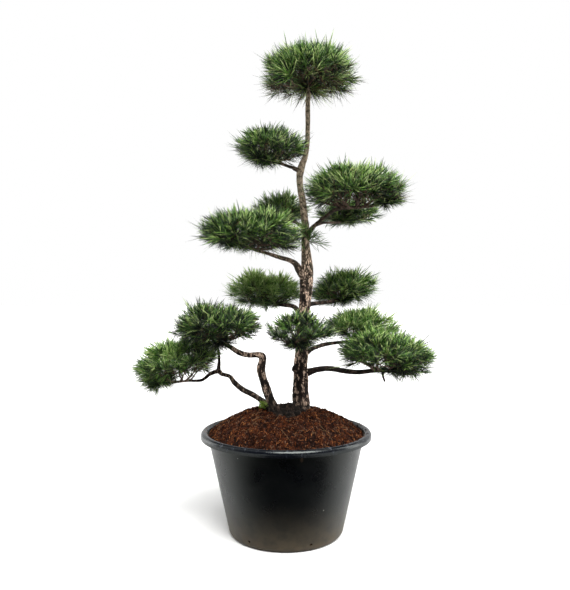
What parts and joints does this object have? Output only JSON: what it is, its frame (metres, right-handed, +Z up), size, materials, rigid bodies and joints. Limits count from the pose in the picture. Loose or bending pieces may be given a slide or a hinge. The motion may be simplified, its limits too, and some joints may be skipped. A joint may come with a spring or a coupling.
{
  "type": "cloud-pruned pine in a nursery container",
  "caption": "Pine trained into flat cloud-shaped foliage pads on a bare trunk and branches, growing from a mound of soil in a round tapered container with a rolled rim.",
  "frame": {"origin": "middle of the container's flat underside, on the ground", "axes": "+Z up the tree, +X to the right as the tree is seen from its front, +Y away from the viewer"},
  "size_m": [1.1208, 0.65, 1.854],
  "materials": {
    "container_plastic": "satin",
    "potting_soil": "matte",
    "bark": "matte",
    "needles": "matte",
    "moss": "matte"
  },
  "bodies": {
    "root": {"pot": "container_plastic", "soil": "potting_soil", "trunk_and_branches": "bark", "pad_crown": "needles", "pad_top_left": "needles", "pad_high_right": "needles", "pad_high_right_back": "needles", "pad_high_left": "needles", "pad_high_left_back": "needles", "pad_middle_right": "needles", "pad_middle_left": "needles", "pad_lower_left_upper": "needles", "pad_lower_left": "needles", "pad_lower_front": "needles", "pad_lower_right_upper": "needles", "pad_lower_right": "needles", "sprig_front": "needles", "sprig_right": "needles", "moss_patch": "moss"}
  },
  "joints": []
}
